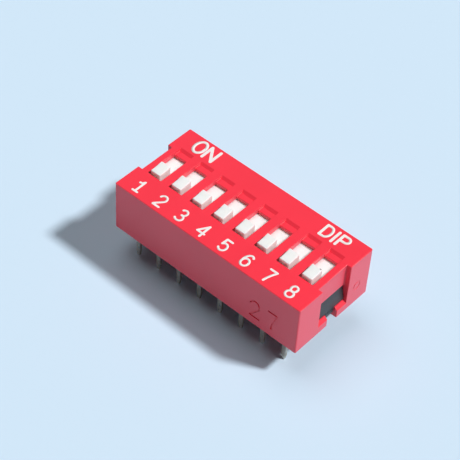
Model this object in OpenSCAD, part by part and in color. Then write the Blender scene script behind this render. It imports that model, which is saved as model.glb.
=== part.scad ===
// Eight-way slide DIP switch. Sizes are in millimetres.
//
// A red cover snaps over a black base. The base holds two rows of terminals, and between the
// cover and the base each switch has a white actuator that carries a bridging contact.
// +X runs along the row of switches, from 1 to the last. +Y points from the numbered side to
// the ON side, and z = 0 is at the tips of the pins. Every actuator is drawn at OFF.

/* [Row of switches] */
// Number of switches
switch_count = 8; // [2:1:12]
// Distance from one switch to the next
pitch = 2.54; // [2.3:0.02:5.08]
// Distance between the two rows of pins
row_spacing = 7.62; // [7:0.02:12]
// Distance that an actuator slides from OFF to ON
travel = 1.83; // [1.6:0.01:2.3]

/* [Cover] */
// Height of the cover from its rim to its top face
cover_h = 5.61; // [5:0.01:8]
// Thickness of the long walls
side_wall = 0.8; // [0.5:0.05:1.5]
// Thickness of the two end walls
end_wall = 0.88; // [0.7:0.01:1.5]
// Thickness of the roof over the actuators
roof_t = 0.58; // [0.35:0.01:0.7]
// Thickness of the partitions between the channels
partition_t = 0.4; // [0.3:0.05:0.6]
// Radius of the four upright corners
corner_r = 0.15; // [0.05:0.05:0.4]
// Distance from a row of pins to the inner face of the long wall beside it
pin_margin = 0.35; // [0.25:0.01:1]

/* [Slots in the roof] */
// Width of a slot and of the tray behind it
slot_w = 1.6; // [1.3:0.05:1.7]
// Distance of the slots' centres from the middle of the cover, towards ON
slot_y = -0.155; // [-0.3:0.005:0.3]
// Length of the shallow tray behind a slot
tray_l = 0.92; // [0.6:0.02:1.2]
// Depth of the tray below the top face
tray_depth = 0.22; // [0.1:0.01:0.3]
// Length of the tray's sloping end
tray_slope = 0.28; // [0.1:0.02:0.5]

/* [Ends] */
// Width of the notch down each end
notch_w = 3.87; // [2.5:0.01:5]
// Depth of the notch
notch_d = 0.47; // [0.2:0.01:0.6]
// Height of the snap bar below the notch
bar_h = 1.2; // [0.9:0.05:1.6]
// Width of the chamfer along the outer edge of the snap bar
bar_chamfer = 0.3; // [0.05:0.05:0.4]
// Height of the window above the snap bar
window_h = 1.9; // [1.4:0.05:2.4]
// Width of the slit that divides the snap bar
slit_w = 1.3; // [0.8:0.05:1.8]

/* [Actuators] */
// Length of the knob
knob_l = 1.44; // [1:0.02:2]
// Height of the knob above the top face of the cover
knob_rise = 0.48; // [0.2:0.02:1]
// Depth of the dish in the top of the knob
knob_dish = 0.12; // [0.04:0.02:0.2]
// Width of the lip that the dish leaves at the ON end
knob_lip = 0.15; // [0.1:0.05:0.3]
// Distance of the dish's lowest line from the OFF end of the knob
dish_low = 0.2; // [0:0.05:0.5]
// Depth of the hollow for a pen's tip in the OFF end of the knob
knob_hollow = 0.16; // [0.05:0.01:0.25]
// Thickness of the plate under the roof
plate_t = 0.7; // [0.4:0.05:1]
// Height of the chamber between the base and the roof
chamber_h = 2.04; // [1.8:0.02:2.6]

/* [Contacts] */
// Width of the bridging contact
contact_w = 0.9; // [0.5:0.05:1]
// Thickness of the bridging contact
contact_t = 0.12; // [0.08:0.01:0.2]
// Distance between the contact's two feet
wipe_span = 1.9; // [1.7:0.05:2.2]
// Length of each flat foot
foot_l = 0.3; // [0.2:0.05:0.5]
// Length of the slope on each side of a foot
foot_slope = 0.35; // [0.2:0.05:0.45]
// Height of the turned-up end of a foot
foot_curl = 0.35; // [0.2:0.05:0.6]
// Distance of the contact from the middle of its actuator, towards ON
contact_y = -0.35; // [-0.5:0.05:0.2]

/* [Terminals] */
// Width of a pin
pin_w = 0.5; // [0.3:0.02:0.8]
// Thickness of the terminal strip
pin_t = 0.25; // [0.15:0.01:0.3]
// Length of a pin below the rim of the cover
pin_l = 3.3; // [2.5:0.01:6]
// Width of a pin's tip
tip_w = 0.3; // [0.2:0.02:0.46]
// Length of the tapered tip
tip_l = 0.6; // [0.3:0.05:1.2]
// Width of the pad and of the shoulder below it
pad_w = 1.2; // [0.8:0.05:1.6]
// Inner radius of the bend between the pad and the pin
bend_r = 0.15; // [0.05:0.05:0.4]
// Height of the wide shoulder below the face of the base
shoulder_h = 0.95; // [0.8:0.05:1.6]
// Gap between the front and the rear pad
pad_gap = 0.7; // [0.3:0.05:0.9]
// Distance that a pad reaches past a foot's centre
pad_land = 0.32; // [0.25:0.01:0.5]

/* [Base] */
// Distance of the base's underside above the rim of the cover
base_recess = 0.6; // [0.2:0.05:1.2]
// Distance of a lug's nose from the end face of the cover
nose_inset = 0.28; // [0.2:0.02:0.6]
// Height of the nose above the snap bar
nose_h = 0.2; // [0.1:0.05:0.8]
// Distance that a lug's underside slants back below the nose
nose_slant = 0.08; // [0.02:0.01:0.2]
// Distance that a lug's face leans back above the nose
lug_lean = 0.32; // [0.1:0.02:0.4]
// Distance of the tongue's face from the end face of the cover
tongue_inset = 0.34; // [0.2:0.02:0.6]
// Height of the tongue's foot above the rim of the cover
tongue_h = 0.6; // [0.2:0.05:0.8]

/* [Clearances] */
// Between an actuator and each side of its channel
slide_gap = 0.07; // [0.04:0.01:0.15]
// Between an actuator and the roof
roof_gap = 0.04; // [0.02:0.01:0.1]
// Between an actuator and the base
floor_gap = 0.05; // [0.02:0.01:0.1]
// Between an actuator and the long wall it slides up to
end_gap = 0.15; // [0.1:0.01:0.3]
// Between a knob and the end of its slot
knob_end_gap = 0.12; // [0.03:0.01:0.2]
// Between a knob and each side of its slot
knob_side_gap = 0.25; // [0.1:0.01:0.3]
// Between a contact's foot and a pad
wipe_gap = 0.03; // [0.02:0.01:0.06]
// Between a contact and the pocket around it
pocket_gap = 0.05; // [0.03:0.01:0.1]
// Between the base and the walls of the cover
base_gap = 0.05; // [0.02:0.01:0.1]
// Between a lug and the sides of its notch, window and slit
lug_gap = 0.06; // [0.03:0.01:0.12]

/* [Hidden] */
$fn = 48;

// How far a cutter runs past the face that it opens
over = 1;

// Channels, and the outline that they and the walls make
channel_w = pitch - partition_t;
cover_l = (switch_count - 1) * pitch + channel_w + 2 * end_wall;
chamber_y = row_spacing / 2 + pin_margin;
cover_w = 2 * (chamber_y + side_wall);
end_x = cover_l / 2;
room_x = end_x - end_wall;

// Levels, from the tips of the pins up
rim_z = pin_l;
top_z = rim_z + cover_h;
roof_z = top_z - roof_t;
floor_z = roof_z - chamber_h;
under_z = rim_z + base_recess;
bar_z = rim_z + bar_h;

// Slots and knobs
slot_l = knob_l + travel + 2 * knob_end_gap;
slot_back = slot_y + slot_l / 2;
knob_w = slot_w - 2 * knob_side_gap;

// Actuators: the middle of each lies half the travel short of the cover's middle at OFF
actuator_w = channel_w - 2 * slide_gap;
actuator_l = 2 * (chamber_y - end_gap) - travel;
actuator_z = floor_z + floor_gap;
plate_z = roof_z - roof_gap;
off_y = -travel / 2;

// Contacts: half of the centre line, from the middle of the seat to the curled end
seat_z = plate_z - plate_t - contact_t / 2;
foot_z = floor_z + wipe_gap + contact_t / 2;
foot_in = (wipe_span - foot_l) / 2;
foot_out = (wipe_span + foot_l) / 2;
contact_l = 2 * (foot_out + foot_slope) + contact_t;
contact_half = [
    [foot_in - foot_slope, seat_z],
    [foot_in, foot_z],
    [foot_out, foot_z],
    [foot_out + foot_slope, foot_z + foot_curl]
];

// Pads: both feet rest on the front pad at OFF, and the rear foot crosses over to ON
front_foot_on = -off_y + contact_y - wipe_span / 2;
rear_foot_off = off_y + contact_y + wipe_span / 2;
front_pad_y = max(front_foot_on, rear_foot_off) + pad_land;
rear_pad_y = front_pad_y + pad_gap;

function switch_x(k) = (k - (switch_count + 1) / 2) * pitch;

// The point of a mitred strip's edge at point i of its centre line, d to the left of it
function heading(a, b) = (b - a) / norm(b - a);
function edge_point(line, i, d) =
    let (
        last = len(line) - 1,
        before = heading(line[max(i - 1, 0)], line[max(i, 1)]),
        after = heading(line[min(i, last - 1)], line[min(i + 1, last)]),
        mid = heading([0, 0], before + after)
    )
    line[i] + d / (mid * before) * [-mid.y, mid.x];

// A strip of thickness t along a centre line
module strip(line, t) {
    last = len(line) - 1;
    polygon(concat(
        [for (i = [0 : last]) edge_point(line, i, t / 2)],
        [for (i = [last : -1 : 0]) edge_point(line, i, -t / 2)]
    ));
}

// A box between two corners
module box(low, high) {
    translate(low)
        cube(high - low);
}

// A profile drawn in y and z, drawn out to width w about x = 0
module across_x(w) {
    translate([-w / 2, 0, 0])
        rotate([90, 0, 90])
            linear_extrude(w)
                children();
}

// A profile drawn in x and z, drawn out to width w about y = 0
module across_y(w) {
    translate([0, w / 2, 0])
        rotate([90, 0, 0])
            linear_extrude(w)
                children();
}

// Draws what belongs to the +X end at both ends
module both_ends() {
    children();
    mirror([1, 0, 0])
        children();
}

// ---- Cover

module cover_block() {
    x = end_x - corner_r;
    y = cover_w / 2 - corner_r;
    box([-x, -cover_w / 2, rim_z], [x, cover_w / 2, top_z]);
    box([-end_x, -y, rim_z], [end_x, y, top_z]);
    for (sx = [-1, 1], sy = [-1, 1])
        translate([sx * x, sy * y, rim_z])
            cylinder(r = corner_r, h = cover_h);
}

// The opening in the roof for one knob, and the sloping tray behind it
module slot() {
    box([-slot_w / 2, slot_back - slot_l, floor_z], [slot_w / 2, slot_back, top_z + over]);
    across_x(slot_w)
        polygon([
            [slot_y, top_z - tray_depth],
            [slot_back + tray_l - tray_slope, top_z - tray_depth],
            [slot_back + tray_l, top_z],
            [slot_back + tray_l, top_z + over],
            [slot_y, top_z + over]
        ]);
}

// One channel, open at the bottom to the room for the base
module channel() {
    box([-channel_w / 2, -chamber_y, under_z], [channel_w / 2, chamber_y, roof_z]);
}

// The notch, window and slit, which leave a sprung and chamfered snap bar in two halves
module end_cuts() {
    y = notch_w / 2;
    box([end_x - notch_d, -y, bar_z], [end_x + over, y, top_z + over]);
    across_y(notch_w)
        polygon([
            [end_x - bar_chamfer, bar_z],
            [end_x + over, bar_z - bar_chamfer - over],
            [end_x + over, bar_z]
        ]);
    box([room_x - over, -y, bar_z], [end_x, y, bar_z + window_h]);
    box([room_x - over, -slit_w / 2, rim_z - over], [end_x + over, slit_w / 2, bar_z + window_h / 2]);
}

module cover() {
    color("crimson")
        difference() {
            cover_block();
            box([-room_x, -chamber_y, rim_z - over], [room_x, chamber_y, floor_z]);
            for (k = [1 : switch_count])
                translate([switch_x(k), 0, 0]) {
                    channel();
                    slot();
                }
            both_ends()
                end_cuts();
        }
}

// ---- Terminals

// The strip seen from the side, from the shoulder round the bend to the pad's end.
// u runs from the pin towards the middle of the switch.
module shoulder_profile(pad_u) {
    centre = [pin_t / 2 + bend_r, floor_z - pin_t - bend_r];
    translate([-pin_t / 2, floor_z - shoulder_h])
        square([pin_t, centre.y - floor_z + shoulder_h]);
    translate([centre.x, floor_z - pin_t])
        square([pad_u - centre.x, pin_t]);
    intersection() {
        translate(centre)
            difference() {
                circle(r = bend_r + pin_t);
                circle(r = bend_r);
            }
        translate([-pin_t / 2, centre.y])
            square(bend_r + pin_t);
    }
}

module pin_profile() {
    polygon([
        [-tip_w / 2, 0],
        [tip_w / 2, 0],
        [pin_w / 2, tip_l],
        [pin_w / 2, floor_z - pin_t - bend_r],
        [-pin_w / 2, floor_z - pin_t - bend_r],
        [-pin_w / 2, tip_l]
    ]);
}

// One stamped strip, with its pin at y = 0 and its pad towards +Y
module terminal(pad_u) {
    across_x(pad_w)
        shoulder_profile(pad_u);
    across_y(pin_t)
        pin_profile();
}

module terminal_front(k) {
    color("silver")
        translate([switch_x(k), -row_spacing / 2, 0])
            terminal(row_spacing / 2 + front_pad_y);
}

module terminal_rear(k) {
    color("silver")
        translate([switch_x(k), row_spacing / 2, 0])
            rotate([0, 0, 180])
                terminal(row_spacing / 2 - rear_pad_y);
}

// ---- Base

// The snap lug: a wedge that fills the window over the snap bar, and a tongue down the slit
module lug() {
    root_x = room_x - base_gap;
    nose_x = end_x - nose_inset;
    lug_top = bar_z + window_h - lug_gap;
    across_y(notch_w - 2 * lug_gap)
        polygon([
            [root_x, bar_z],
            [nose_x - nose_slant, bar_z],
            [nose_x, bar_z + nose_h],
            [nose_x - lug_lean, lug_top],
            [root_x, lug_top]
        ]);
    y = slit_w / 2 - lug_gap;
    box([root_x, -y, rim_z + tongue_h], [end_x - tongue_inset, y, bar_z]);
}

module base() {
    x = room_x - base_gap;
    y = chamber_y - base_gap;
    color("#30363c")
        difference() {
            union() {
                box([-x, -y, under_z], [x, y, floor_z]);
                both_ends()
                    lug();
            }
            for (k = [1 : switch_count]) {
                terminal_front(k);
                terminal_rear(k);
            }
        }
}

// ---- Sliders

// The radius of an arc that is depth deep at its middle and half_chord wide on each side
function arc_radius(half_chord, depth) = (half_chord * half_chord + depth * depth) / (2 * depth);

// The knob: a dish across its top, which falls towards OFF, and an upright hollow in its OFF end
module knob() {
    top = top_z + knob_rise;
    foot = plate_z - plate_t / 2;
    dish_r = arc_radius(knob_l - knob_lip - dish_low, knob_dish);
    hollow_r = arc_radius(knob_w / 2, knob_hollow);
    difference() {
        box([-knob_w / 2, -knob_l / 2, foot], [knob_w / 2, knob_l / 2, top]);
        translate([-knob_w, dish_low - knob_l / 2, top - knob_dish + dish_r])
            rotate([0, 90, 0])
                cylinder(r = dish_r, h = 2 * knob_w, $fn = 192);
        translate([0, knob_hollow - knob_l / 2 - hollow_r, plate_z])
            cylinder(r = hollow_r, h = top_z + knob_rise);
    }
}

module actuator(k) {
    pocket_w = contact_w + 2 * pocket_gap;
    pocket_l = contact_l + 2 * pocket_gap;
    color("white")
        translate([switch_x(k), off_y, 0]) {
            difference() {
                box(
                    [-actuator_w / 2, -actuator_l / 2, actuator_z],
                    [actuator_w / 2, actuator_l / 2, plate_z]
                );
                box(
                    [-pocket_w / 2, contact_y - pocket_l / 2, actuator_z - over],
                    [pocket_w / 2, contact_y + pocket_l / 2, plate_z - plate_t]
                );
            }
            translate([0, slot_y, 0])
                knob();
        }
}

// The bridging contact: a seat against the roof of its pocket and two sprung feet
module contact(k) {
    last = len(contact_half) - 1;
    line = concat(
        [for (i = [last : -1 : 0]) [-contact_half[i].x, contact_half[i].y]],
        contact_half
    );
    color("gold")
        translate([switch_x(k), off_y + contact_y, 0])
            across_x(contact_w)
                strip(line, contact_t);
}

// ---- Assembly

cover();
base();
for (k = [1 : switch_count]) {
    actuator(k);
    contact(k);
    terminal_front(k);
    terminal_rear(k);
}
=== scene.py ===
# %% [markdown]
# # An eight-way slide DIP switch
#
# This part is a small switch block for a circuit board. A red cover clips over a black base,
# eight white sliders show through slots in the cover, and sixteen tinned pins stand below.
# The solids come ready made from CAD, so this script does not design the part. It dresses it:
# it rounds the edges, prints the numbers, and gives every surface the finish of the real one.

# %% Load the solids
import math

import bmesh
import bpy
from mathutils import Matrix, Quaternion, Vector


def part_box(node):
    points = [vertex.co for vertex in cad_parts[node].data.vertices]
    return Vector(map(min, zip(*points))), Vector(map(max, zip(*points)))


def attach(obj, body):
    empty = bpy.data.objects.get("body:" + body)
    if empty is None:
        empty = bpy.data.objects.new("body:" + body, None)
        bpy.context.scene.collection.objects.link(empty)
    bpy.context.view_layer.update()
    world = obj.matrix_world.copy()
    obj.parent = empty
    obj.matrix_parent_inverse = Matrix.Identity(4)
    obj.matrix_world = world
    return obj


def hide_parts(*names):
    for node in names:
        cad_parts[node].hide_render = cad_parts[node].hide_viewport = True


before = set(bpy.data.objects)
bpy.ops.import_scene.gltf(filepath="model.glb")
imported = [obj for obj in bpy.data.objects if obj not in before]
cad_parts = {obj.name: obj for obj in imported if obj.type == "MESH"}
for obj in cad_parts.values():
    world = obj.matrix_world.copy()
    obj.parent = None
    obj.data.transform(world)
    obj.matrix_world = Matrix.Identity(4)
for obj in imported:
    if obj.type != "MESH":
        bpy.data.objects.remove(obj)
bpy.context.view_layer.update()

# %% [markdown]
# ## Sizes
#
# Blender works in metres, but nobody thinks of a switch in metres. Everything below is written
# in millimetres and multiplied by MM where Blender needs it. The main sizes are read back from
# the solids, so the dressing follows the CAD model if that ever changes.

# %% Read the main sizes
MM = 0.001

cover_low, cover_high = (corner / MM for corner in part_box("cover"))
END_X, LEFT_X = cover_high.x, -cover_high.x
FRONT_Y = cover_low.y
RIM_Z, TOP_Z = cover_low.z, cover_high.z
SWITCHES = sorted(int(name.split("_")[1]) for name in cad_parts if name.startswith("actuator_"))


def node_middle(node):
    """The middle of a solid's box, in millimetres."""
    low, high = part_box(node)
    return (low + high) / 2 / MM


switch_x = {k: node_middle(f"actuator_{k}").x for k in SWITCHES}
print(f"cover: {2 * END_X:.2f} by {-2 * FRONT_Y:.2f} by {TOP_Z - RIM_Z:.2f} mm, switches: {len(SWITCHES)}")

# %% [markdown]
# ## The camera
#
# A macro shot of a part this small is taken from close by with a long lens, which is why the
# far end looks only a little smaller than the near one. The camera is placed the way a person
# would describe it: how far round the part, how far above it, how far away, and a slight tilt
# of the head. Depth of field stays off, so every edge is sharp.

# %% Set up the camera
CAMERA_AIM = Vector((-1.026, -0.306, 6.498))
CAMERA_ROUND = math.radians(38.9)
CAMERA_ABOVE = math.radians(46.87)
CAMERA_TILT = math.radians(3.94)
CAMERA_AWAY = 139.0
CAMERA_LENS = 121.5


def add_camera():
    """Puts the camera on a sphere round the aim and turns it to look inwards."""
    back = Vector((
        math.sin(CAMERA_ROUND) * math.cos(CAMERA_ABOVE),
        -math.cos(CAMERA_ROUND) * math.cos(CAMERA_ABOVE),
        math.sin(CAMERA_ABOVE),
    ))
    data = bpy.data.cameras.new("macro_camera")
    data.lens = CAMERA_LENS
    data.sensor_width = 36
    data.clip_start, data.clip_end = 0.001, 10
    camera = bpy.data.objects.new("macro_camera", data)
    camera.location = (CAMERA_AIM + back * CAMERA_AWAY) * MM
    camera.rotation_mode = "QUATERNION"
    camera.rotation_quaternion = Quaternion(back, CAMERA_TILT) @ (-back).to_track_quat("-Z", "Y")
    bpy.context.scene.collection.objects.link(camera)
    bpy.context.scene.camera = camera
    return camera


camera = add_camera()
print("camera at", [round(c / MM, 1) for c in camera.location], "mm")

# %% [markdown]
# ## Building node trees by hand
#
# Both the finishes and the printed characters are made with nodes. Wiring them in code is
# wordy, so one small helper adds a node, sets its properties and fills or links its inputs in
# a single call. A value that is a socket gets linked, and any other value is just typed in.

# %% A helper that adds and wires one node
def add_node(tree, kind, inputs=None, **properties):
    """Adds a node. inputs maps a socket's name or number to a value or to another node's output."""
    node = tree.nodes.new(kind)
    for name, value in properties.items():
        setattr(node, name, value)
    for name, value in (inputs or {}).items():
        if isinstance(value, bpy.types.NodeSocket):
            tree.links.new(value, node.inputs[name])
        else:
            node.inputs[name].default_value = value
    return node


def new_group(name, kind, inputs, outputs):
    """An empty node group. inputs and outputs map each socket's name to its type and default."""
    tree = bpy.data.node_groups.new(name, kind)
    for in_out, sockets in (("INPUT", inputs), ("OUTPUT", outputs)):
        for label, (socket_type, default) in sockets.items():
            socket = tree.interface.new_socket(label, in_out=in_out, socket_type=socket_type)
            if default is not None:
                socket.default_value = default
    entry = tree.nodes.new("NodeGroupInput")
    leave = tree.nodes.new("NodeGroupOutput")
    return tree, entry.outputs, leave.inputs


FLOAT, VECTOR, GEOMETRY = "NodeSocketFloat", "NodeSocketVector", "NodeSocketGeometry"
print("socket types:", FLOAT, VECTOR, GEOMETRY)

# %% [markdown]
# ## Shared surface effects
#
# The plastics, the platings and the ink have effects in common. Each effect is a shader group
# with its own dials, placed in every material that needs it:
#
# - *moulded skin*: the fine spark-eroded grain that a mould leaves on plastic, and the slow
#   change of tone where the melt has flowed
# - *settled dust*: a few pale specks that lie on whatever faces up
# - *drawn strip*: the long faint lines that rolling leaves on sheet metal
# - *small spot*: one mark at a given place, such as a small dark spot
#
# The groups give out only heights, tones and masks. What they mean for colour and roughness is
# decided in each material.

# %% Group: moulded skin
def build_moulded_skin():
    """Grain and flow of a moulded surface, from sizes in millimetres."""
    tree, take, give = new_group(
        "moulded_skin",
        "ShaderNodeTree",
        {"Place": (VECTOR, None), "Grain size": (FLOAT, 0.05), "Flow size": (FLOAT, 4.0)},
        {"Height": (FLOAT, None), "Grain": (FLOAT, None), "Flow": (FLOAT, None)},
    )

    def noise_of_size(size, detail, roughness):
        per_metre = add_node(tree, "ShaderNodeMath", {0: 1 / MM, 1: size}, operation="DIVIDE")
        noise = add_node(
            tree,
            "ShaderNodeTexNoise",
            {
                "Vector": take["Place"],
                "Scale": per_metre.outputs[0],
                "Detail": detail,
                "Roughness": roughness,
            },
        )
        return noise.outputs["Fac"]

    grain = noise_of_size(take["Grain size"], 2.0, 0.6)
    flow = noise_of_size(take["Flow size"], 1.0, 0.4)
    broad = add_node(tree, "ShaderNodeMath", {0: flow, 1: 0.5}, operation="MULTIPLY")
    height = add_node(tree, "ShaderNodeMath", {0: grain, 1: broad.outputs[0]}, operation="ADD")
    tree.links.new(height.outputs[0], give["Height"])
    tree.links.new(grain, give["Grain"])
    tree.links.new(flow, give["Flow"])
    return tree


moulded_skin = build_moulded_skin()
print("group:", moulded_skin.name, "nodes:", len(moulded_skin.nodes))

# %% Group: settled dust
SPECK_FULL, SPECK_GONE = 0.03, 0.06


def build_settled_dust():
    """A mask of sparse specks, kept to the faces that look up.

    Space is split into cells, and the chosen ones hold a speck. It is full within SPECK_FULL of
    its middle and gone at SPECK_GONE, both as shares of a cell.
    """
    tree, take, give = new_group(
        "settled_dust",
        "ShaderNodeTree",
        {"Place": (VECTOR, None), "Spacing": (FLOAT, 0.9), "Amount": (FLOAT, 0.1)},
        {"Mask": (FLOAT, None)},
    )
    per_metre = add_node(tree, "ShaderNodeMath", {0: 1 / MM, 1: take["Spacing"]}, operation="DIVIDE")
    cells = add_node(
        tree,
        "ShaderNodeTexVoronoi",
        {"Vector": take["Place"], "Scale": per_metre.outputs[0], "Randomness": 1.0},
    )
    near = add_node(
        tree,
        "ShaderNodeMapRange",
        {
            "Value": cells.outputs["Distance"],
            "From Min": SPECK_FULL,
            "From Max": SPECK_GONE,
            "To Min": 1.0,
            "To Max": 0.0,
        },
    )
    lot = add_node(tree, "ShaderNodeSeparateColor", {0: cells.outputs["Color"]})
    chosen = add_node(tree, "ShaderNodeMath", {0: lot.outputs[0], 1: take["Amount"]}, operation="LESS_THAN")
    surface = add_node(tree, "ShaderNodeNewGeometry")
    facing = add_node(tree, "ShaderNodeSeparateXYZ", {0: surface.outputs["Normal"]})
    upward = add_node(
        tree, "ShaderNodeMapRange", {"Value": facing.outputs["Z"], "From Min": 0.6, "From Max": 0.95}
    )
    specks = add_node(
        tree, "ShaderNodeMath", {0: near.outputs[0], 1: chosen.outputs[0]}, operation="MULTIPLY"
    )
    mask = add_node(
        tree, "ShaderNodeMath", {0: specks.outputs[0], 1: upward.outputs[0]}, operation="MULTIPLY"
    )
    tree.links.new(mask.outputs[0], give["Mask"])
    return tree


settled_dust = build_settled_dust()
print("group:", settled_dust.name, "nodes:", len(settled_dust.nodes))

# %% Group: drawn strip
CLOUD_SIZE = 0.6


def build_drawn_strip():
    """Faint lines along a strip, and the cloudy tone of its plating."""
    tree, take, give = new_group(
        "drawn_strip",
        "ShaderNodeTree",
        {"Place": (VECTOR, None), "Line width": (FLOAT, 0.03), "Stretch": (VECTOR, (1.0, 1.0, 0.05))},
        {"Height": (FLOAT, None), "Tone": (FLOAT, None)},
    )
    stretched = add_node(
        tree, "ShaderNodeVectorMath", {0: take["Place"], 1: take["Stretch"]}, operation="MULTIPLY"
    )
    per_metre = add_node(tree, "ShaderNodeMath", {0: 1 / MM, 1: take["Line width"]}, operation="DIVIDE")
    lines = add_node(
        tree,
        "ShaderNodeTexNoise",
        {"Vector": stretched.outputs[0], "Scale": per_metre.outputs[0], "Detail": 3.0, "Roughness": 0.6},
    )
    cloud = add_node(
        tree, "ShaderNodeTexNoise", {"Vector": take["Place"], "Scale": 1 / (CLOUD_SIZE * MM), "Detail": 2.0}
    )
    tree.links.new(lines.outputs["Fac"], give["Height"])
    tree.links.new(cloud.outputs["Fac"], give["Tone"])
    return tree


drawn_strip = build_drawn_strip()
print("group:", drawn_strip.name, "nodes:", len(drawn_strip.nodes))

# %% Group: small spot
RAGGED_PER_MM = 18.0
RAGGED_EDGE = 1.5


def build_small_spot():
    """A mask that is 1 inside an uneven spot round a centre, in millimetres.

    Noise times the radius is added to the distance from the centre, and the edge is drawn where
    that reaches RAGGED_EDGE times the radius. Noise is about a half on average, so the spot
    reaches its radius on average and wanders to both sides of it.
    """
    tree, take, give = new_group(
        "small_spot",
        "ShaderNodeTree",
        {
            "Place": (VECTOR, None),
            "Centre": (VECTOR, (0.0, 0.0, 0.0)),
            "Squash": (VECTOR, (1.0, 1.0, 1.0)),
            "Radius": (FLOAT, 0.1),
            "Blur": (FLOAT, 0.03),
        },
        {"Mask": (FLOAT, None)},
    )
    in_mm = add_node(tree, "ShaderNodeVectorMath", {0: take["Place"], "Scale": 1 / MM}, operation="SCALE")
    away = add_node(
        tree, "ShaderNodeVectorMath", {0: in_mm.outputs[0], 1: take["Centre"]}, operation="SUBTRACT"
    )
    shaped = add_node(
        tree, "ShaderNodeVectorMath", {0: away.outputs[0], 1: take["Squash"]}, operation="MULTIPLY"
    )
    reach = add_node(tree, "ShaderNodeVectorMath", {0: shaped.outputs[0]}, operation="LENGTH")
    ragged = add_node(
        tree, "ShaderNodeTexNoise", {"Vector": in_mm.outputs[0], "Scale": RAGGED_PER_MM, "Detail": 2.0}
    )
    uneven = add_node(
        tree, "ShaderNodeMath", {0: ragged.outputs["Fac"], 1: take["Radius"]}, operation="MULTIPLY"
    )
    distance = add_node(
        tree, "ShaderNodeMath", {0: reach.outputs["Value"], 1: uneven.outputs[0]}, operation="ADD"
    )
    edge = add_node(tree, "ShaderNodeMath", {0: take["Radius"], 1: RAGGED_EDGE}, operation="MULTIPLY")
    outside = add_node(tree, "ShaderNodeMath", {0: edge.outputs[0], 1: take["Blur"]}, operation="ADD")
    mask = add_node(
        tree,
        "ShaderNodeMapRange",
        {
            "Value": distance.outputs[0],
            "From Min": edge.outputs[0],
            "From Max": outside.outputs[0],
            "To Min": 1.0,
            "To Max": 0.0,
        },
        interpolation_type="SMOOTHSTEP",
    )
    tree.links.new(mask.outputs[0], give["Mask"])
    return tree


small_spot = build_small_spot()
print("group:", small_spot.name, "nodes:", len(small_spot.nodes))

# %% [markdown]
# ## Materials
#
# Each material is a Principled BSDF with its fixed numbers typed straight into the shader. Only
# what changes over the surface comes through nodes: a colour mix, a roughness and a bump.
# Patterns are placed by Object coordinates, so they stay on a slider when it moves.

# %% Helpers for materials
def start_material(name, **fixed):
    """A material with a Principled BSDF, its fixed numbers and the object's own coordinates."""
    material = bpy.data.materials.new(name)
    material.use_nodes = True
    tree = material.node_tree
    shader = tree.nodes["Principled BSDF"]
    for socket, value in fixed.items():
        shader.inputs[socket.replace("_", " ")].default_value = value
    place = tree.nodes.new("ShaderNodeTexCoord").outputs["Object"]
    return material, tree, shader, place


def place_group(tree, group, place, **dials):
    """One of the shared groups, placed in a material with its own values."""
    node = tree.nodes.new("ShaderNodeGroup")
    node.node_tree = group
    tree.links.new(place, node.inputs["Place"])
    for dial, value in dials.items():
        node.inputs[dial.replace("_", " ")].default_value = value
    return node


def mix_colours(tree, mask, first, second):
    """first where the mask is 0 and second where it is 1."""
    node = add_node(tree, "ShaderNodeMix", data_type="RGBA")
    factor, a, b = node.inputs[0], node.inputs[6], node.inputs[7]
    tree.links.new(mask, factor)
    for socket, value in ((a, first), (b, second)):
        if isinstance(value, bpy.types.NodeSocket):
            tree.links.new(value, socket)
        else:
            socket.default_value = (*value, 1.0)
    return node.outputs[2]


def spread(tree, value, low, high, start=0.3, end=0.7):
    """Maps a noise, which mostly lies between start and end, to the range from low to high."""
    node = add_node(
        tree,
        "ShaderNodeMapRange",
        {"Value": value, "From Min": start, "From Max": end, "To Min": low, "To Max": high},
    )
    return node.outputs[0]


GRAIN_DEPTH = 0.004


def bump_from(tree, shader, height, depth_mm=GRAIN_DEPTH):
    """Feeds a height of the given depth to the shader's normal."""
    bump = add_node(
        tree, "ShaderNodeBump", {"Height": height, "Strength": 1.0, "Distance": depth_mm * MM}
    )
    tree.links.new(bump.outputs[0], shader.inputs["Normal"])


print("the grain is", GRAIN_DEPTH, "mm deep, where a material asks for nothing else")

# %% [markdown]
# ### Moulded plastics
#
# The cover is a satin red thermoplastic. Its colour is very full, so almost no green comes back
# from it. What makes a side look pinkish is the pale table that it reflects, and a trace of
# bluish sheen, the bloom that such a skin shows when it is seen at a low angle. The base is the
# same plastic in black, without the bloom.
#
# The sliders are a slightly waxy white. Light goes a little way into that plastic and out again
# beside where it went in, which is what the subsurface numbers are for. The material can also
# carry one small dark spot at a given place, made metallic there; the last slider has one.

# %% Materials: cover, base and sliders
DUST_AMOUNT, DUST_COLOUR = 0.03, (0.75, 0.74, 0.72)
# Size, blur, squash and colour of one small dark spot, which is made metallic where it lies.
DARK_SPOT_RADIUS, DARK_SPOT_BLUR, DARK_SPOT_SQUASH = 0.065, 0.03, (0.7, 0.8, 0.8)
DARK_SPOT_COLOUR = (0.20, 0.19, 0.19)


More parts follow.
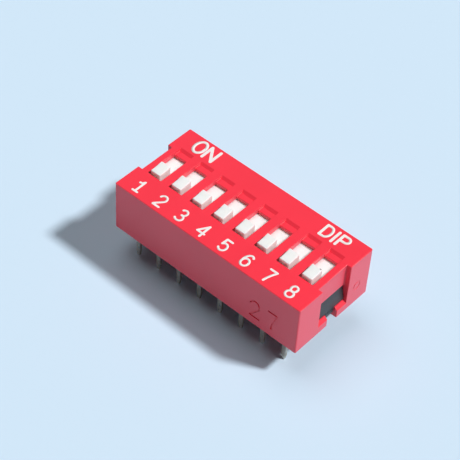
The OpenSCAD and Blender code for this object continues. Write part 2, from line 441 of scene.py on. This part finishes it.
def plastic(name, colour, flow_colour, gloss, depth_mm=GRAIN_DEPTH, dark_spot_at=None, **fixed):
    """Satin moulded plastic, with a second colour where the melt has flowed thin.

    gloss is the least and the greatest roughness. dark_spot_at, in millimetres, is the place of
    the small dark metallic spot, if there is one.
    """
    material, tree, shader, place = start_material(name, **fixed)
    skin = place_group(tree, moulded_skin, place)
    dust = place_group(tree, settled_dust, place, Amount=DUST_AMOUNT)
    body = mix_colours(tree, spread(tree, skin.outputs["Flow"], 0.0, 1.0), colour, flow_colour)
    shown = mix_colours(tree, dust.outputs["Mask"], body, DUST_COLOUR)
    # One small dark spot at a given place: its colour is mixed in and the surface is metallic there.
    if dark_spot_at:
        dark_spot = place_group(
            tree,
            small_spot,
            place,
            Centre=dark_spot_at,
            Squash=DARK_SPOT_SQUASH,
            Radius=DARK_SPOT_RADIUS,
            Blur=DARK_SPOT_BLUR,
        )
        shown = mix_colours(tree, dark_spot.outputs["Mask"], shown, DARK_SPOT_COLOUR)
        tree.links.new(dark_spot.outputs["Mask"], shader.inputs["Metallic"])
    tree.links.new(shown, shader.inputs["Base Color"])
    tree.links.new(spread(tree, skin.outputs["Grain"], *gloss), shader.inputs["Roughness"])
    bump_from(tree, shader, skin.outputs["Height"], depth_mm)
    return material


red_plastic = plastic(
    "red_plastic",
    colour=(0.92, 0.010, 0.036),
    flow_colour=(0.88, 0.008, 0.032),
    gloss=(0.33, 0.43),
    IOR=1.57,
    Sheen_Weight=0.35,
    Sheen_Roughness=0.5,
    Sheen_Tint=(0.65, 0.80, 1.0, 1.0),
)
black_plastic = plastic(
    "black_plastic",
    colour=(0.016, 0.019, 0.022),
    flow_colour=(0.022, 0.025, 0.028),
    gloss=(0.36, 0.46),
    IOR=1.57,
)
white_plastic = plastic(
    "white_plastic",
    colour=(0.875, 0.90, 0.885),
    flow_colour=(0.855, 0.88, 0.86),
    gloss=(0.34, 0.44),
    depth_mm=0.003,
    # the place of one small dark metallic spot on the last slider
    dark_spot_at=(switch_x[SWITCHES[-1]] + 0.39, -0.40, TOP_Z + 0.45),
    Subsurface_Weight=0.8,
    Subsurface_Radius=(1.0, 0.95, 0.9),
    Subsurface_Scale=0.5 * MM,
)
print("plastics:", red_plastic.name, black_plastic.name, white_plastic.name)

# %% [markdown]
# ### Platings and ink
#
# The pins are brass strip with a dull tin plating, whose tone is cloudy and whose faint lines
# run along the pin. The contacts inside are plated with gold. The printing is a thin white ink,
# a little thicker in some places than in others, so the red just shows through it.

# %% Materials: tin, gold and ink
ALONG_Y, ALONG_Z = (1.0, 0.06, 1.0), (1.0, 1.0, 0.05)
INK_COLOUR, INK_WORN_COLOUR = (0.86, 0.84, 0.82), (0.86, 0.30, 0.32)


def plating(name, colour, aged, gloss, stretch):
    """Rolled metal strip with a thin plating. stretch draws the lines out along one axis."""
    material, tree, shader, place = start_material(name, Metallic=1.0)
    strip = place_group(tree, drawn_strip, place, Stretch=stretch)
    age = spread(tree, strip.outputs["Tone"], 0.0, 1.0, start=0.35)
    tree.links.new(mix_colours(tree, age, colour, aged), shader.inputs["Base Color"])
    tree.links.new(spread(tree, strip.outputs["Tone"], *gloss), shader.inputs["Roughness"])
    bump_from(tree, shader, strip.outputs["Height"])
    return material


tin_plating = plating(
    "tin_plating", colour=(0.60, 0.58, 0.52), aged=(0.40, 0.36, 0.30), gloss=(0.24, 0.42), stretch=ALONG_Z
)
gold_plating = plating(
    "gold_plating", colour=(0.93, 0.70, 0.32), aged=(0.85, 0.58, 0.24), gloss=(0.16, 0.28), stretch=ALONG_Y
)


def ink_material():
    """Thin white printing ink over the red plastic."""
    material, tree, shader, place = start_material("white_ink")
    skin = place_group(tree, moulded_skin, place, Grain_size=0.09, Flow_size=0.7)
    worn = spread(tree, skin.outputs["Grain"], 0.0, 0.16, start=0.45, end=0.75)
    shown = mix_colours(tree, worn, INK_COLOUR, INK_WORN_COLOUR)
    tree.links.new(shown, shader.inputs["Base Color"])
    tree.links.new(spread(tree, skin.outputs["Flow"], 0.42, 0.55), shader.inputs["Roughness"])
    bump_from(tree, shader, skin.outputs["Height"])
    return material


white_ink = ink_material()
print("platings and ink:", tin_plating.name, gold_plating.name, white_ink.name)

# %% [markdown]
# ## Rounding the edges
#
# A CAD solid has perfectly sharp edges, and nothing gives away a computer picture faster. No
# mould and no press makes such an edge. Each solid is therefore copied, its loose triangles are
# welded back into whole faces, and a narrow bevel rounds every edge, which then catches a line
# of light. The copy is made in millimetres, because Blender's own tolerances suit numbers near
# one, and it is brought back to metres at the end. The bevel only takes material away, so all
# the running gaps of the mechanism stay open.
#
# The bevel marks the strips that it makes with a material number. With its help the shading is
# set one corner at a time: a whole face shades dead flat, a strip turns smoothly from one flat face
# to the next, and the facets of a true curve blend into each other.
#
# Later steps cut and join meshes with booleans. Where two surfaces nearly meet, a boolean leaves
# corners almost on top of each other and faces too thin to see. They are merged, and a hole
# that a vanished face leaves is filled, so that every piece is one closed skin.

# %% Helpers that weld, close and shade a mesh
WHOLE, ROUNDED = 0, 1
WELD, SLIVER = 0.0005, 0.0002
FLAT = math.radians(1)
BEVEL_STEPS, BEVEL_ABOVE = 3, math.radians(50)
SAME_CURVE = math.radians(35)


def welded_copy(node):
    """A copy of a solid's mesh in millimetres, with its triangles joined into whole faces."""
    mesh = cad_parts[node].data.copy()
    mesh.transform(Matrix.Scale(1 / MM, 4))
    work = bmesh.new()
    work.from_mesh(mesh)
    bmesh.ops.remove_doubles(work, verts=work.verts, dist=WELD)
    bmesh.ops.dissolve_limit(
        work, angle_limit=FLAT, use_dissolve_boundaries=False, verts=work.verts, edges=work.edges
    )
    for face in work.faces:
        face.material_index = WHOLE
        face.smooth = True
    work.to_mesh(mesh)
    work.free()
    mesh.materials.clear()
    for _ in (WHOLE, ROUNDED):
        mesh.materials.append(None)
    return mesh


def applied_mesh(piece):
    """The piece's mesh with its modifiers applied."""
    shown = piece.evaluated_get(bpy.context.evaluated_depsgraph_get())
    mesh = bpy.data.meshes.new_from_object(shown)
    piece.modifiers.clear()
    return mesh


def close_slivers(mesh):
    """Merges corners that lie almost on top of each other, and closes what that opens."""
    work = bmesh.new()
    work.from_mesh(mesh)
    bmesh.ops.triangulate(work, faces=work.faces)
    bmesh.ops.remove_doubles(work, verts=work.verts, dist=SLIVER)
    bmesh.ops.dissolve_degenerate(work, dist=SLIVER, edges=work.edges)
    bmesh.ops.delete(work, geom=[edge for edge in work.edges if edge.is_wire], context="EDGES")
    bmesh.ops.holes_fill(work, edges=[edge for edge in work.edges if edge.is_boundary])
    work.to_mesh(mesh)
    work.free()


def add_piece(name, mesh):
    """A mesh object at the origin."""
    piece = bpy.data.objects.new(name, mesh)
    bpy.context.scene.collection.objects.link(piece)
    return piece


def shade_by_hand(mesh):
    """Sets the normal of every corner from the whole faces that meet there."""
    work = bmesh.new()
    work.from_mesh(mesh)
    work.normal_update()
    normals = []
    for face in work.faces:
        for vertex in (corner.vert for corner in face.loops):
            near = [f.normal for f in vertex.link_faces if f.material_index == WHOLE]
            if face.material_index == WHOLE:
                near = [n for n in near if n.angle(face.normal, 0) < SAME_CURVE]
            near = near or [f.normal for f in vertex.link_faces]
            normals.append(sum(near, Vector()).normalized())
    work.free()
    mesh.normals_split_custom_set(normals)


print("edges get a bevel of", BEVEL_STEPS, "steps")

# %% [markdown]
# ## Characters made of pen strokes
#
# The numbers and words are printed in white in a plain rounded letter of one stroke width, the
# kind that a technical pen draws. So that is how they are made: each character is a few pen
# strokes, and a Geometry Nodes tree lays a ribbon of ink along every stroke, puts a round dot
# at its two ends, and joins whatever overlaps into a closed solid. The pen's width and the
# height of the ink are the tree's inputs, so it also makes the cutters for the sunken marks.
#
# A stroke is a list of points. arc() works out those of a curved one, from a centre, two radii
# and two angles, in the way that a pair of compasses would.

# %% Pen strokes
ARC_STEP = 7.5


def arc(x, y, rx, ry, start, end):
    """Points along part of an ellipse, with angles in degrees from +X, counter-clockwise."""
    count = max(2, round(abs(end - start) / ARC_STEP))
    angles = [math.radians(start + (end - start) * i / count) for i in range(count + 1)]
    return [(x + rx * math.cos(a), y + ry * math.sin(a)) for a in angles]


def ring(x, y, rx, ry):
    """A closed ellipse. Its first point comes again at the end, which closes the stroke."""
    return arc(x, y, rx, ry, 0, 360)


# Each character stands on y = 0 and is centred on x = 0. The heights are those of the middle of
# the strokes: CAP for the digits, TYPE_CAP for the letters of DIP, and a little more for ON.
CAP, TYPE_CAP = 1.40, 1.38
STROKES = {
    "1": [[(-0.36, 1.10), (-0.16, 1.16), (0.0, CAP)], [(0.0, CAP), (0.0, 0.0)], [(-0.27, 0.0), (0.27, 0.0)]],
    "2": [
        arc(0.0, 1.01, 0.36, 0.39, 165, -30) + [(-0.33, 0.05)],
        [(-0.33, 0.0), (0.36, 0.0)],
    ],
    "3": [arc(-0.03, 1.06, 0.32, 0.34, 145, -90), arc(-0.03, 0.36, 0.38, 0.36, 90, -145)],
    "4": [[(0.22, CAP), (-0.40, 0.38)], [(-0.40, 0.38), (0.40, 0.38)], [(0.22, CAP), (0.22, -0.04)]],
    "5": [
        [(0.34, CAP - 0.03), (-0.24, CAP - 0.03)],
        [(-0.24, CAP - 0.03), (-0.30, 0.72)],
        [(-0.30, 0.72)] + arc(0.0, 0.45, 0.38, 0.45, 112, -145),
    ],
    "6": [
        arc(0.06, 0.98, 0.34, 0.42, 40, 90) + arc(0.10, 0.66, 0.47, 0.74, 98, 180),
        ring(0.0, 0.44, 0.37, 0.44),
    ],
    "7": [[(-0.36, CAP), (0.36, CAP)], [(0.36, CAP), (0.12, 0.86), (-0.02, 0.40), (-0.08, 0.0)]],
    "8": [ring(0.0, 1.06, 0.30, 0.34), ring(0.0, 0.37, 0.38, 0.37)],
    "O": [ring(0.0, 0.80, 0.54, 0.80)],
    "N": [[(-0.52, 0.04), (-0.52, 1.56)], [(-0.52, 1.56), (0.52, 0.04)], [(0.52, 0.04), (0.52, 1.56)]],
    "D": [
        [(-0.42, 0.0), (-0.42, TYPE_CAP)],
        [(-0.42, 0.0)] + arc(-0.02, 0.69, 0.45, 0.69, -90, 90) + [(-0.42, TYPE_CAP)],
    ],
    "I": [[(0.0, 0.0), (0.0, TYPE_CAP)]],
    "P": [
        [(-0.42, 0.0), (-0.42, TYPE_CAP)],
        [(-0.42, TYPE_CAP)] + arc(0.08, 1.03, 0.37, 0.35, 90, -90) + [(-0.42, 0.68)],
    ],
}
print("characters:", " ".join(sorted(STROKES)))

# %% The tree that lays ink along strokes
DOT_SIDES = 32


def build_ink_strokes():
    """Geometry Nodes: a flat ribbon along each stroke, round dots at its ends, joined into one solid."""
    tree, take, give = new_group(
        "ink_strokes",
        "GeometryNodeTree",
        {
            "Strokes": (GEOMETRY, None),
            "Pen width": (FLOAT, 0.2),
            "Ink height": (FLOAT, 0.02),
            "Finish": ("NodeSocketMaterial", None),
        },
        {"Print": (GEOMETRY, None)},
    )
    flat = add_node(tree, "GeometryNodeSetCurveNormal", {"Curve": take["Strokes"]}, mode="Z_UP")
    nib = add_node(
        tree,
        "GeometryNodeCurvePrimitiveQuadrilateral",
        {"Width": take["Pen width"], "Height": take["Ink height"]},
        mode="RECTANGLE",
    )
    ribbon = add_node(
        tree,
        "GeometryNodeCurveToMesh",
        {"Curve": flat.outputs[0], "Profile Curve": nib.outputs[0], "Fill Caps": True},
    )
    radius = add_node(tree, "ShaderNodeMath", {0: take["Pen width"], 1: 0.5}, operation="MULTIPLY")
    dot = add_node(
        tree,
        "GeometryNodeMeshCylinder",
        {"Vertices": DOT_SIDES, "Radius": radius.outputs[0], "Depth": take["Ink height"]},
    )
    ends = add_node(tree, "GeometryNodeCurveEndpointSelection", {"Start Size": 1, "End Size": 1})
    dots = add_node(
        tree,
        "GeometryNodeInstanceOnPoints",
        {"Points": take["Strokes"], "Selection": ends.outputs[0], "Instance": dot.outputs["Mesh"]},
    )
    real_dots = add_node(tree, "GeometryNodeRealizeInstances", {0: dots.outputs[0]})
    union = add_node(
        tree,
        "GeometryNodeMeshBoolean",
        {"Self Intersection": True},
        operation="UNION",
        solver="EXACT",
    )
    tree.links.new(ribbon.outputs[0], union.inputs["Mesh 2"])
    tree.links.new(real_dots.outputs[0], union.inputs["Mesh 2"])
    real = add_node(tree, "GeometryNodeRealizeInstances", {0: union.outputs[0]})
    inked = add_node(
        tree,
        "GeometryNodeSetMaterial",
        {"Geometry": real.outputs[0], "Material": take["Finish"]},
    )
    tree.links.new(inked.outputs[0], give["Print"])
    return tree


ink_strokes = build_ink_strokes()
print("tree:", ink_strokes.name, "nodes:", len(ink_strokes.nodes))

# %% Helpers that draw characters and turn them into a mesh
SAME_POINT = 1e-6


def socket_id(tree, name):
    """The identifier by which a modifier knows one of the tree's inputs."""
    return next(
        item.identifier
        for item in tree.interface.items_tree
        if item.item_type == "SOCKET" and item.in_out == "INPUT" and item.name == name
    )


def stroke_curves(name, strokes):
    """A curve object with one straight-edged spline for each stroke."""
    data = bpy.data.curves.new(name, "CURVE")
    data.dimensions = "3D"
    for stroke in strokes:
        closed = len(stroke) > 2 and math.dist(stroke[0], stroke[-1]) < SAME_POINT
        points = stroke[:-1] if closed else stroke
        spline = data.splines.new("POLY")
        spline.points.add(len(points) - 1)
        for point, (x, y) in zip(spline.points, points):
            point.co = (x, y, 0.0, 1.0)
        spline.use_cyclic_u = closed
    pen = bpy.data.objects.new(name, data)
    bpy.context.scene.collection.objects.link(pen)
    return pen


def stroke_mesh(name, strokes, pen_width, height, material, to_place):
    """Runs the tree on the strokes and returns a plain mesh, in millimetres and in its place."""
    pen = stroke_curves(name, strokes)
    ink = pen.modifiers.new("ink", "NODES")
    ink.node_group = ink_strokes
    ink[socket_id(ink_strokes, "Pen width")] = pen_width
    ink[socket_id(ink_strokes, "Ink height")] = height
    ink[socket_id(ink_strokes, "Finish")] = material
    mesh = applied_mesh(pen)
    close_slivers(mesh)
    mesh.transform(to_place)
    bpy.data.objects.remove(pen)
    return mesh


def moved(strokes, x, y):
    """The strokes shifted by x and y."""
    return [[(px + x, py + y) for px, py in stroke] for stroke in strokes]


def enlarged(strokes, scale):
    """The strokes at another size."""
    return [[(x * scale, y * scale) for x, y in stroke] for stroke in strokes]


def row_of(places, foot, scale=1.0):
    """The strokes of several characters that stand on one line. places gives each one's x."""
    return [
        stroke
        for character, x in places.items()
        for stroke in moved(enlarged(STROKES[character], scale), x, foot)
    ]


print("a modifier knows the pen's width as", socket_id(ink_strokes, "Pen width"))

# %% [markdown]
# ## Sunken marks in the cover
#
# The front face carries two shallow digits, of the kind that tells one cavity of a mould from
# another. They are the same strokes at a larger size, cut a little into the plastic. The right
# end has a small ring where the plastic was let into the mould.

# %% Cutters for the cavity digits and the gate ring
MARK_PEN, MARK_DEPTH, MARK_SCALE = 0.17, 0.09, 1.45
MARK_PLACES = {"2": LEFT_X + 16.9, "7": LEFT_X + 18.95}
MARK_LINE = RIM_Z + 1.0
GATE_PEN, GATE_DEPTH, GATE_RADIUS = 0.11, 0.03, 0.42
GATE_Y, GATE_Z = FRONT_Y + 8.15, RIM_Z + 2.25

upright = Matrix.Rotation(math.radians(90), 4, "X")
on_front = Matrix.Translation((0, FRONT_Y, 0)) @ upright
on_end = Matrix.Translation((END_X, 0, 0)) @ Matrix.Rotation(math.radians(90), 4, "Z") @ upright
cavity = row_of(MARK_PLACES, MARK_LINE, MARK_SCALE)
gate = [ring(GATE_Y, GATE_Z, GATE_RADIUS, GATE_RADIUS)]
cover_marks = [
    add_piece("cavity_cutter", stroke_mesh("cavity", cavity, MARK_PEN, 2 * MARK_DEPTH, None, on_front)),
    add_piece("gate_cutter", stroke_mesh("gate", gate, GATE_PEN, 2 * GATE_DEPTH, None, on_end)),
]
print("cutters:", [(mark.name, len(mark.data.polygons)) for mark in cover_marks])

# %% [markdown]
# ## Dressing the pieces
#
# One call per solid. The width of the bevel is the radius that the real edge has: the cover and
# the sliders come out of the mould with the softest edges, and a stamped strip is almost sharp.
# Where marks have been cut in a piece, its skin is closed again before it is shaded.

# %% Dress the cover, base, sliders, contacts and pins
COVER_EDGE, BASE_EDGE, SLIDER_EDGE, PIN_EDGE, CONTACT_EDGE = 0.07, 0.06, 0.07, 0.035, 0.025


def dress(node, body, material, edge, marks=()):
    """Stands a rounded copy in the place of a solid. edge is the bevel's width in millimetres."""
    piece = add_piece(f"{node}_finished", welded_copy(node))
    bevel = piece.modifiers.new("rounded_edges", "BEVEL")
    bevel.width = edge
    bevel.segments = BEVEL_STEPS
    bevel.limit_method = "ANGLE"
    bevel.angle_limit = BEVEL_ABOVE
    bevel.use_clamp_overlap = False
    bevel.loop_slide = False
    bevel.material = ROUNDED
    for mark in marks:
        cut = piece.modifiers.new(mark.name, "BOOLEAN")
        cut.operation = "DIFFERENCE"
        cut.solver = "EXACT"
        cut.object = mark
    piece.data = applied_mesh(piece)
    for mark in marks:
        bpy.data.objects.remove(mark)
    if marks:
        close_slivers(piece.data)
    shade_by_hand(piece.data)
    for face in piece.data.polygons:
        face.material_index = 0
    piece.data.materials.clear()
    piece.data.materials.append(material)
    piece.data.transform(Matrix.Scale(MM, 4))
    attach(piece, body)
    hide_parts(node)
    return piece


dressed = [
    dress("cover", "housing", red_plastic, COVER_EDGE, cover_marks),
    dress("base", "housing", black_plastic, BASE_EDGE),
]
for k in SWITCHES:
    dressed += [
        dress(f"actuator_{k}", f"slider_{k}", white_plastic, SLIDER_EDGE),
        dress(f"contact_{k}", f"slider_{k}", gold_plating, CONTACT_EDGE),
        dress(f"terminal_front_{k}", "housing", tin_plating, PIN_EDGE),
        dress(f"terminal_rear_{k}", "housing", tin_plating, PIN_EDGE),
    ]
print("dressed:", len(dressed), "pieces,", sum(len(p.data.polygons) for p in dressed), "faces")

# %% [markdown]
# ## Printing
#
# The numbers stand in a row below the slots, each centred on its own switch. ON stands above
# the first two slots and the type of the switch above the last two. ON is printed a little
# larger and with a bolder pen. The ink is laid on the flat top face and stands about a
# hundredth of a millimetre proud of it.

# %% Print the numbers and the words
PEN_NUMBERS, PEN_TYPE, PEN_ON = 0.22, 0.26, 0.295
INK_HEIGHT = 0.012
NUMBER_LINE = FRONT_Y + 0.53
TYPE_LINE = FRONT_Y + 8.03
ON_LINE = FRONT_Y + 7.92
NUMBER_PLACES = {str(k): switch_x[k] for k in SWITCHES}
TYPE_PLACES = {"D": LEFT_X + 17.50, "I": LEFT_X + 18.40, "P": LEFT_X + 19.29}
ON_PLACES = {"O": LEFT_X + 2.365, "N": LEFT_X + 3.765}


def print_on_top(name, strokes, pen_width):
    """Lays the strokes on the cover in white ink."""
    on_top = Matrix.Translation((0, 0, TOP_Z + INK_HEIGHT / 2))
    piece = add_piece(name, stroke_mesh(name, strokes, pen_width, INK_HEIGHT, white_ink, on_top))
    piece.data.transform(Matrix.Scale(MM, 4))
    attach(piece, "housing")
    print(f"{name}: {len(piece.data.polygons)} faces")


print_on_top("printed_numbers", row_of(NUMBER_PLACES, NUMBER_LINE), PEN_NUMBERS)
print_on_top("printed_type", row_of(TYPE_PLACES, TYPE_LINE), PEN_TYPE)
print_on_top("printed_on", row_of(ON_PLACES, ON_LINE), PEN_ON)

# %% [markdown]
# ## The table and the light
#
# The part stands on a plain pale table. The key lamp stands high on the right and a little
# behind: the top is bright, the right end is lit, the front falls into shade, and the shadow
# lies in front and to the left. A broad weak lamp overhead softens that shadow. It is hidden
# from glossy rays, so it lays no pale film over the red top. Hardly any light comes from low
# down, so the ground between the pins goes dark.
#
# Both lamps are suns, so the light is the same at any distance. Together they light a level
# surface at just about one, at which a colour renders as it is written.

# %% Stage and lights
TABLE_WIDTH = 3.0
TABLE_COLOUR = (0.60, 0.755, 0.89)
BACKDROP_COLOUR = (0.80, 0.87, 0.93)
SKY_STRENGTH = 0.02


def add_table():
    """A large level table under the pins."""
    half = TABLE_WIDTH / 2
    corners = [(-half, -half, 0), (half, -half, 0), (half, half, 0), (-half, half, 0)]
    mesh = bpy.data.meshes.new("table")
    mesh.from_pydata(corners, [], [(0, 1, 2, 3)])
    material = start_material("table_pale", Roughness=0.8, Base_Color=(*TABLE_COLOUR, 1.0))[0]
    mesh.materials.append(material)
    table = add_piece("table", mesh)


def add_lamp(name, stands_at, strength, softness, mirrored=True):
    """A sun that shines from stands_at to the middle. softness is the width of its disc in degrees.

    Where mirrored is False, the lamp lights the part but shows in no gloss.
    """
    data = bpy.data.lights.new(name, "SUN")
    data.energy = strength
    data.angle = math.radians(softness)
    lamp = bpy.data.objects.new(name, data)
    lamp.rotation_mode = "QUATERNION"
    lamp.rotation_quaternion = Vector(stands_at).to_track_quat("Z", "Y")
    lamp.visible_glossy = mirrored
    bpy.context.scene.collection.objects.link(lamp)


def set_sky():
    """A dim sky for the light, and a pale one wherever the camera or a reflection sees it."""
    world = bpy.data.worlds.new("studio")
    bpy.context.scene.world = world
    world.use_nodes = True
    tree = world.node_tree
    path = add_node(tree, "ShaderNodeLightPath").outputs
    glossy = add_node(
        tree, "ShaderNodeMath", {0: path["Is Camera Ray"], 1: path["Is Glossy Ray"]}, operation="MAXIMUM"
    )
    seen = add_node(
        tree, "ShaderNodeMath", {0: glossy.outputs[0], 1: path["Is Transmission Ray"]}, operation="MAXIMUM"
    )
    fill = add_node(tree, "ShaderNodeBackground", {"Color": (1, 1, 1, 1), "Strength": SKY_STRENGTH})
    backdrop = add_node(tree, "ShaderNodeBackground", {"Color": (*BACKDROP_COLOUR, 1), "Strength": 1.0})
    mixed = add_node(
        tree, "ShaderNodeMixShader", {0: seen.outputs[0], 1: fill.outputs[0], 2: backdrop.outputs[0]}
    )
    tree.links.new(mixed.outputs[0], tree.nodes["World Output"].inputs["Surface"])


add_table()
add_lamp("key_lamp", stands_at=(0.54, 0.27, 0.80), strength=3.02, softness=7)
add_lamp("overhead_lamp", stands_at=(-0.27, 0.01, 0.96), strength=0.86, softness=42, mirrored=False)
set_sky()
bpy.context.scene.view_settings.view_transform = "Standard"
print("lamps:", {light.name: round(light.energy, 2) for light in bpy.data.lights})
